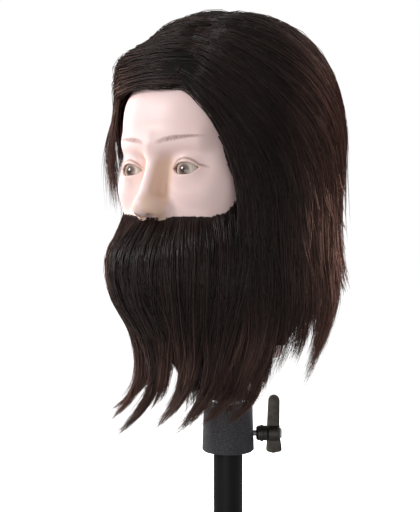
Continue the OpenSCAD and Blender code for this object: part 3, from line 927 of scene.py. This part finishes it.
def length_to(path, z_end):
    """Arc length at which each path first passes its own height."""
    cum = arc_lengths(path)
    z0, z1 = path[:, :-1, 2], path[:, 1:, 2]
    hit = (z0 >= z_end[:, None]) & (z1 < z_end[:, None])
    i = np.where(hit.any(1), hit.argmax(1), path.shape[1] - 2)
    r = np.arange(len(path))
    f = np.clip((z0[r, i] - z_end) / np.maximum(z0[r, i] - z1[r, i], 1e-6), 0, 1)
    return cum[r, i] + f * (cum[r, i + 1] - cum[r, i])


def gather(path, z_hi, z_lo, n_lead, pull, keep):
    """Draw the lower parts of the guides into locks. Also gives each one's leader and distance to it."""
    n = len(path)
    zr = (z_hi + z_lo) / 2
    at = np.empty((n, 3))
    ok = np.zeros(n, bool)

    def crossings(p):
        return np.flatnonzero((p[:-1, 2] >= zr) & (p[1:, 2] < zr))

    for i, p in enumerate(path):
        j = crossings(p)
        if len(j):
            j = j[0]
            f = (p[j, 2] - zr) / max(p[j, 2] - p[j + 1, 2], 1e-6)
            at[i] = p[j] + f * (p[j + 1] - p[j])
            ok[i] = True
    idx = np.flatnonzero(ok)
    lead = [idx[int(rng.integers(len(idx)))]]
    d = np.linalg.norm(at[idx, :2] - at[lead[0], :2], axis=-1)
    for _ in range(n_lead - 1):  # each new leader is far from the others, with some chance in it
        lead.append(idx[int(np.argmax(d * rng.uniform(0.55, 1.0, len(d))))])
        d = np.minimum(d, np.linalg.norm(at[idx, :2] - at[lead[-1], :2], axis=-1))
    lead = np.array(lead)
    apart = np.linalg.norm(at[:, None, :2] - at[lead][None, :, :2], axis=-1)
    who = np.argmin(apart, 1)
    dist = apart[np.arange(n), who]
    out = path.copy()
    for i in np.flatnonzero(ok):
        leader = lead[who[i]]
        below = path[leader][crossings(path[leader])[0]:]
        below = below[np.argsort(below[:, 2])]
        z = out[i, :, 2]
        k = pull * sstep(z_hi - z, 0, z_hi - z_lo) * (z < z_hi)
        zc = np.clip(z, below[0, 2], zr)
        for axis in (0, 1):
            to = np.interp(zc, below[:, 2], below[:, axis]) + keep * (at[i, axis] - at[leader, axis])
            out[i, :, axis] += k * (to - out[i, :, axis])
    return out, who, np.where(ok, dist, 0)


def children(G, N, per, width, depth, close=0.8, wave=1.2, fly=0.04, cutlo=0.84):
    """per strands round each guide: spread at the root, drawn together at the tip."""
    T = unit(np.gradient(G, axis=1), TINY)
    N = unit(N, TINY)
    B = unit(np.cross(T, N), TINY)
    s = np.linspace(0, 1, G.shape[1])[None]
    G, B, N = (np.repeat(q, per, axis=0) for q in (G, B, N))
    m = len(G)
    across = rng.uniform(-1, 1, m) * np.repeat(width, per, axis=0)
    out = rng.normal(0, 0.5, m) * depth
    spread = 1 - close * s ** 1.6
    ph = rng.uniform(0, TURN, (m, 1))
    turns = rng.uniform(0.6, 1.6, (m, 1))
    amp = rng.uniform(0.3, 1.0, (m, 1)) * wave
    wob = amp * np.sin(TURN * turns * s + ph) * s
    wob2 = amp * 0.6 * np.cos(TURN * turns * 1.3 * s + 1.7 * ph) * s
    flies = rng.random((m, 1)) < fly
    lift = flies * rng.uniform(1.0, 6.0, (m, 1)) * s ** 2
    drift = flies * rng.normal(0, 7.0, (m, 1)) * s ** 1.5
    in_root = -1.5 * (s < 0.02)
    sideways = across[:, None] * spread + wob + drift
    outward = out[:, None] * spread * np.minimum(1, s * 8) + wob2 + lift + in_root
    C = G + B * sideways[..., None] + N * outward[..., None]
    # each strand ends a little before or after its neighbours
    idx = rng.uniform(cutlo, 1.0, m)[:, None] * np.arange(G.shape[1])[None]
    i0 = np.floor(idx).astype(int)
    i1 = np.minimum(i0 + 1, G.shape[1] - 1)
    f = (idx - i0)[..., None]
    rows = np.arange(m)[:, None]
    return C[rows, i0] * (1 - f) + C[rows, i1] * f


def tubes(name, C, radius, red_and_backlight, mat, node):
    """Closed three-sided tapered tubes along the strands C."""
    C = C.copy()
    for k, lo, hi in SIDE_ROOM:
        q = C[..., k]
        high = np.where(q > hi, hi + SOFT * np.tanh((q - hi) / SOFT), q)
        C[..., k] = np.where(q < lo, lo - SOFT * np.tanh((lo - q) / SOFT), high)
    m, n1 = C.shape[:2]
    T = unit(np.gradient(C, axis=1), TINY)
    U = unit(np.cross(T, np.array([0.3, 0.2, 0.93])), TINY)
    W = np.cross(T, U)
    taper = np.interp(np.linspace(0, 1, n1), [0, 0.08, 0.6, 1.0], [0.8, 1.0, 0.9, 0.14])
    r = (radius[:, None] * taper[None])[..., None]
    turns = [2 * math.pi * k / 3 for k in range(3)]
    V = np.stack([C + r * (math.cos(a) * U + math.sin(a) * W) for a in turns], 2).reshape(-1, 3)
    b0 = np.arange(m) * n1 * 3
    e0 = b0 + (n1 - 1) * 3
    base = b0[:, None, None] + (np.arange(n1 - 1) * 3)[None, :, None]
    a = base + np.arange(3)
    b = base + (np.arange(3) + 1) % 3
    quads = np.stack([a, b, b + 3, a + 3], -1).reshape(-1, 4)
    ends = np.concatenate([np.stack([b0 + 2, b0 + 1, b0], -1), np.stack([e0, e0 + 1, e0 + 2], -1)])
    ob = raw_mesh(name, (V * MM).astype(np.float32), quads, ends)
    # share of red-brown with painted backlight, for the material
    point_values(ob, "red_and_rim_light", np.repeat(red_and_backlight.ravel(), 3))
    ob.data.materials.append(mat)
    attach(ob, "head")
    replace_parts(ob, node)


def reddish_and_backlight(C, amount):
    """Share of red-brown, partly the hair's own tone and partly painted backlight shining through thin hair:
    more at the tips, the back left, the beard's right flank and the front lobe.
    """
    x, y, z = C[..., 0], C[..., 1], C[..., 2]
    a = angle(C)
    s = np.linspace(0, 1, C.shape[1])[None]
    r = 0.10 + 0.55 * sstep(s, 0.45, 1.0) * sstep(330 - z, 0, 90)
    r = r + 0.6 * sstep(a, 68, 100) * (1 - 0.7 * sstep(a, 120, 165)) * (1 - 0.6 * sstep(z, 480, 540))
    r = r + 0.55 * sstep(-a, 18, 34) * (z < 372) * (y < 0)
    r = r + 0.5 * np.exp(-((x + 55) / 22) ** 2 - ((y + 85) / 25) ** 2 - ((z - 492) / 24) ** 2)
    r = r + 0.25 * sstep(-a, 50, 62) * sstep(a, -110, -80) * (z > 372)
    return np.clip(r * amount[:, None], 0, 1)


def strands(name, node_of, C, tone, rad, amount):
    """Split the strands by CAD node and tone into pieces small enough to export."""
    whole = C[..., 2].min(1) > LOWEST
    node_of, C, tone, rad, amount = node_of[whole], C[whole], tone[whole], rad[whole], amount[whole]
    red_and_backlight = reddish_and_backlight(C, amount)
    for node in sorted(set(node_of)):
        for ti, (a, b) in enumerate(((0, 0.5), (0.5, 2))):
            pick = np.flatnonzero((node_of == node) & (tone >= a) & (tone < b))
            for part in range(0, len(pick), MAX_STRANDS):
                q = pick[part:part + MAX_STRANDS]
                tubes(f"{node}_{name}_{ti}{part // MAX_STRANDS}", C[q], rad[q], red_and_backlight[q], HAIR[ti], node)


def tufts(node_of, C, per):
    """The main strands of hair or beard, each tuft with its own tone."""
    tone = np.repeat(rng.random(len(node_of)), per) * 0.6 + rng.random(len(C)) * 0.4
    rad = rng.uniform(0.24, 0.36, len(C))
    red_and_backlight = np.clip(rng.normal(0.9, 0.35, len(C)), 0.1, 1.5)
    strands("strands", np.repeat(node_of, per), C, tone, rad, red_and_backlight)


# -------------------- the hair and beard themselves
def main_hair():
    """The hair of the whole scalp, in locks that end lower in front than at the back."""
    n = int(1450 * SHARE)
    roots = on_scalp(n, hair_root)
    n_p = int(420 * SHARE)  # along the parting and over the crown, seen from their very start
    y = rng.uniform(-96, 40, n_p)
    x = parting(y) + rng.choice([-1.0, 1.0], n_p) * np.abs(rng.normal(1.5, 9, n_p))
    crown = np.stack([x, y, np.full(n_p, 480.0)], -1)
    for _ in range(40):  # up to the scalp above each point
        crown[:, 2] -= np.clip(head_base(crown), -4, 4)
    crown = crown[in_face(crown) < -1]
    roots = np.concatenate([roots, crown])
    n = len(roots)
    start = np.where(roots[:, 2] > 488, rng.uniform(0.91, 0.99, n), rng.uniform(0.5, 0.78, n))
    target = either(0.7, (0.92, 1.0), (0.84, 0.93), n)
    par = param(n, 0.06, (0.4, 0.85))
    par["line"][-len(crown):] = rng.choice([-26.0, 26.0], len(crown))  # these cross the parting either way
    path, nor = grow(roots, lam_scalp, field_scalp, start, target, par, 46, 12.0)
    bare = (in_face(path) > 1.2) & (path[..., 1] < 0) & (path[..., 2] > 385) & (path[..., 2] < 486)
    keep = ~bare.any(1)
    roots, path, nor = roots[keep], path[keep], nor[keep]
    n = len(roots)
    path, who, dist = gather(path, 300.0, 235.0, 30, 0.66, 0.5)
    a = angle(roots)
    around = np.abs(a)
    z_end = rng.uniform(190, 244, DRAWS)[who] + 1.1 * dist + rng.uniform(0, 14, n) + 10 * (a < 0)
    z_end = z_end + 74 * sstep(around, 82, 114) * (1 - 0.5 * sstep(around, 150, 178))
    length = length_to(path, z_end)
    short = rng.random(n) < 0.34
    G, N = resample(path, nor, np.where(short, length * rng.uniform(0.4, 0.9, n), length), 13)
    room = np.where((G[..., 2] > 385) & (G[..., 1] < 0), -in_face(G), 99).min(1)
    width = np.minimum(rng.uniform(4.0, 8.5, n), np.clip(room, 1.8, 9))
    per = 15
    C = children(G, N, per, width, 2.6, close=0.66, wave=2.2, fly=0.07, cutlo=0.74)
    tufts(hair_node(roots), C, per)


def layered_ends():
    """Ends that stand off the surface."""
    n = int(230 * SHARE)
    per = 10
    roots = on_scalp(n * 2, lambda P: hair_root(P) & (P[:, 2] > 330) & (np.abs(angle(P)) > 75))[:n]
    par = param(n, 0.07, (0.4, 0.85))
    target = rng.uniform(0.97, 1.02, n)
    path, nor = grow(roots, lam_scalp, field_scalp, np.full(n, 0.9), target, par, 20, 11.0)
    z_end = rng.choice([438.0, 370.0, 306.0, 300.0], n) + rng.normal(0, 12, n)
    G, N = resample(path, nor, length_to(path, np.minimum(z_end, roots[:, 2] - 45)), 12)
    flare = rng.uniform(3.0, 11.0, n)
    G = G + N * (flare[:, None] * np.linspace(0, 1, 13)[None] ** 2.2)[..., None]
    C = children(G, N, per, rng.uniform(3.0, 6.0, n), 1.6, close=0.88, wave=0.8, fly=0.05, cutlo=0.78)
    tone = np.repeat(rng.random(n), per)
    strands("layers", np.repeat(hair_node(roots), per), C, tone, rng.uniform(0.22, 0.32, len(C)),
            np.full(len(C), 1.1))


def loose_locks():
    """Thin locks that hang loose beside the right cheek."""
    n = 26
    roots = np.stack([rng.uniform(-66, -52, n), rng.uniform(-84, -66, n), rng.uniform(486, 500, n)], -1)
    par = param(n, 0.04)
    target = rng.uniform(0.9, 1.0, n)
    path, nor = grow(roots, lam_scalp, field_loose, np.full(n, 0.7), target, par, 16, 9.0, 478.0, face=False)
    G, N = resample(path, nor, length_to(path, rng.uniform(372, 402, n)), 12)
    C = children(G, N, 14, np.full(n, 3.0), 2.0, close=0.5, wave=2.2, fly=0.2, cutlo=0.7)
    # a fixed share of red-brown with painted backlight
    tubes("hair_right_loose", C, np.full(len(C), 0.23), np.full(C.shape[:2], 0.4), HAIR[1], "hair_right")


def edge_locks():
    """Locks close along the right edge of the face."""
    n = 34
    points = 13
    s = np.linspace(0, 1, points)
    a = rng.uniform(-61, -54, n)
    z = np.linspace(rng.uniform(474, 492, n), rng.uniform(372, 392, n), points, axis=1)
    a = a[:, None] + rng.normal(0, 2.0, n)[:, None] * s[None]
    G = np.stack([at_angle(a[:, k], z[:, k]) for k in range(points)], 1)
    N = unit(G * np.array([1, 1, 0.0]))
    off = rng.uniform(3.0, 8.0, n)[:, None] * np.interp(s, [0, 0.3, 1], [0.2, 1, 0.8])[None]
    G = G + N * off[..., None]
    C = children(G, N, 12, np.full(n, 3.0), 1.6, close=0.3, wave=1.6, fly=0.15, cutlo=0.7)
    # a fixed share of red-brown with painted backlight
    tubes("hair_right_edge", C, np.full(len(C), 0.2), np.full(C.shape[:2], 0.3), HAIR[1], "hair_right")


def beard():
    """Moustache, chin and cheeks, in locks that flick to the left of the picture."""
    n = int(560 * SHARE)
    roots = on_scalp(n, beard_root)
    n_e = int(240 * SHARE)  # the straight upper edge
    a_e = rng.uniform(-66, 66, n_e)
    roots = np.concatenate([roots, at_angle(a_e, beard_top(a_e) - rng.uniform(0.2, 1.3, n_e))])
    at_edge = np.arange(len(roots)) >= n
    n = len(roots)
    target = either(0.7, (0.86, 1.0), (0.7, 0.9), n)
    start = np.where(at_edge, 0.08, rng.uniform(0.3, 0.6, n))
    par = param(n, 0.05, (0.75, 1.5))
    path, nor = grow(roots, lam_beard, field_beard, start, target, par, 32, 9.0, rise=26.0, face=False)
    path, who, dist = gather(path, 290.0, 220.0, 13, 0.8, 0.35)
    a = angle(roots)
    z_end = rng.uniform(168, 210, DRAWS)[who] + 1.2 * dist + rng.uniform(0, 12, n)
    z_end = z_end + np.where(np.abs(a) > 45, 10, 0) - 20 * np.exp(-((a - 48) / 22) ** 2)
    G, N = resample(path, nor, length_to(path, z_end), 13)
    per = 13
    C = children(G, N, per, rng.uniform(3.0, 6.5, n), 2.0, close=0.82, wave=1.6, fly=0.05)
    C[..., 2] = np.minimum(C[..., 2], beard_top(angle(C)) + 0.3)
    tufts(beard_node(roots), C, per)


def hair_under_jaw():
    """Hair that hangs in front of the plug and the collar."""
    n = int(90 * SHARE) + 10
    per = 14
    a = rng.uniform(-38, 62, n)
    roots = at_angle(a, rng.uniform(252, 292, n))
    par = param(n, 0.05, (0.0, 0.5))
    start = np.full(n, 2.0)
    path, nor = grow(roots, head_base, field_under, start, rng.uniform(4, 10, n), par, 18, 7.0, face=False)
    G, N = resample(path, nor, length_to(path, rng.uniform(176, 226, n)), 13)
    C = children(G, N, per, rng.uniform(3.0, 6.0, n), 2.0, close=0.7, wave=1.5, fly=0.08, cutlo=0.7)
    tone = np.repeat(rng.random(n), per)
    strands("under", np.full(len(C), "beard_chin"), C, tone, rng.uniform(0.22, 0.32, len(C)),
            np.full(len(C), 0.5))


main_hair()
layered_ends()
loose_locks()
edge_locks()
beard()
hair_under_jaw()


# -------------------- dark inner bodies, under the strands
def mass_scalp(P):
    """Hair body that takes most of the thickness, less of it lower down."""
    x, y, z = P[..., 0], P[..., 1], P[..., 2]
    a = head_base(P)
    share = np.interp(z, [205, 245, 275, 310, 500], [0.2, 0.35, 0.55, 0.8, 0.88])
    g = np.maximum(a - share * thickness(P, a), 0.7 - a)
    g = smax(g, np.where(y < 0, in_face(P) + 2.0, -50), 7)
    jag = 8 * np.sin(x * 0.21 + 1) + 6 * np.sin(y * 0.33)
    around = np.abs(angle(P))
    foot = 252 + 48 * sstep(around, 80, 112) + 16 * sstep(around, 125, 150)
    return smax(g, foot + jag - z, 6)


def mass_beard(P):
    """Beard body, thin along its upper edge."""
    x, y, z = P[..., 0], P[..., 1], P[..., 2]
    a = beard_in(P)
    top = beard_top(angle(P)) - 1.0
    g = a - (0.1 + 0.66 * sstep(top - z, 0, 26)) * np.maximum(a - beard_out(P), 3.0)
    g = np.maximum(g, 0.7 - head_base(P))
    g = smax(g, z - top, 1.5)
    g = smax(g, y + 10, 3)
    jag = 8 * np.sin(x * 0.19 + 2) + 5 * np.sin(x * 0.47)
    return smax(g, 262 + jag - z, 6)


def inner_body(name, f, step, box, node):
    P, F = surface_nets(f, *(np.arange(lo, hi, step) for lo, hi in box))
    ob = mesh_object(name, P, F, M_UNDER)
    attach(ob, "head")
    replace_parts(ob, node)


inner_body("hair_inner_body", mass_scalp, 3.6,
           ((-112, 113), (-122, 126), (226, 574)), "hair_back")
inner_body("beard_inner_body", mass_beard, 2.6,
           ((-92, 93), (-142, -2), (236, 420)), "beard_chin")

# -------------------- studio
FLOOR_GLOW = 0.75
AMBIENT = 0.40  # the backdrop is white, but it lights the object less than it shows
AIM = (0, 0, 0.42)

zf = cad_lo[2] - 0.0005  # half a millimetre below the object
floor_me = bpy.data.meshes.new("studio_floor")
floor_me.from_pydata([(-6, -6, zf), (6, -6, zf), (6, 6, zf), (-6, 6, zf)], [], [(0, 1, 2, 3)])
floor = bpy.data.objects.new("studio_floor", floor_me)
bpy.context.scene.collection.objects.link(floor)
white = Mat("studio_white", "#ffffff", 0.9)
white.set("Emission Color", (1, 1, 1, 1))
white.set("Emission Strength", FLOOR_GLOW)
floor_me.materials.append(white.material)
floor.visible_diffuse = False  # light from below comes from the world, as it does from above
floor.visible_glossy = False

world = bpy.data.worlds.new("studio")
bpy.context.scene.world = world
world.use_nodes = True
wt = world.node_tree
bg = wt.nodes["Background"]
bg.inputs["Color"].default_value = (1, 1, 1, 1)
lp = wt.nodes.new("ShaderNodeLightPath")
mr = wt.nodes.new("ShaderNodeMapRange")
mr.inputs["To Min"].default_value = AMBIENT
mr.inputs["To Max"].default_value = 1.0
wt.links.new(lp.outputs["Is Camera Ray"], mr.inputs["Value"])
wt.links.new(mr.outputs["Result"], bg.inputs["Strength"])


def area(name, loc, target, size, power, color=(1, 1, 1)):
    ld = bpy.data.lights.new(name, "AREA")
    ld.shape = "DISK"
    ld.size = size
    ld.energy = power
    ld.color = color
    ob = bpy.data.objects.new(name, ld)
    bpy.context.scene.collection.objects.link(ob)
    ob.location = Vector(loc)
    ob.rotation_euler = (Vector(target) - Vector(loc)).to_track_quat("-Z", "Y").to_euler()
    return ob


def from_camera(right, toward, up):
    """A place in metres by directions in the picture."""
    return tuple(R_DIR * right - V_DIR * toward + np.array([0, 0, up]))


area("key", from_camera(-1.3, 0.34, 0.9), AIM, 0.5, 10.5)
area("fill", from_camera(-0.45, 1.2, 0.12), AIM, 0.9, 3.2, (1, 0.98, 0.94))
for side, power in ((1.0, 58.0), (-0.8, 34.0)):  # soft edges, without their own reflection
    lamp = area("rim", from_camera(side, -0.7, 0.7), (0, 0, 0.4), 0.6, power, (1, 0.97, 0.95))
    lamp.visible_glossy = False

sc = bpy.context.scene
sc.view_settings.view_transform = "Standard"
sc.view_settings.look = "None"
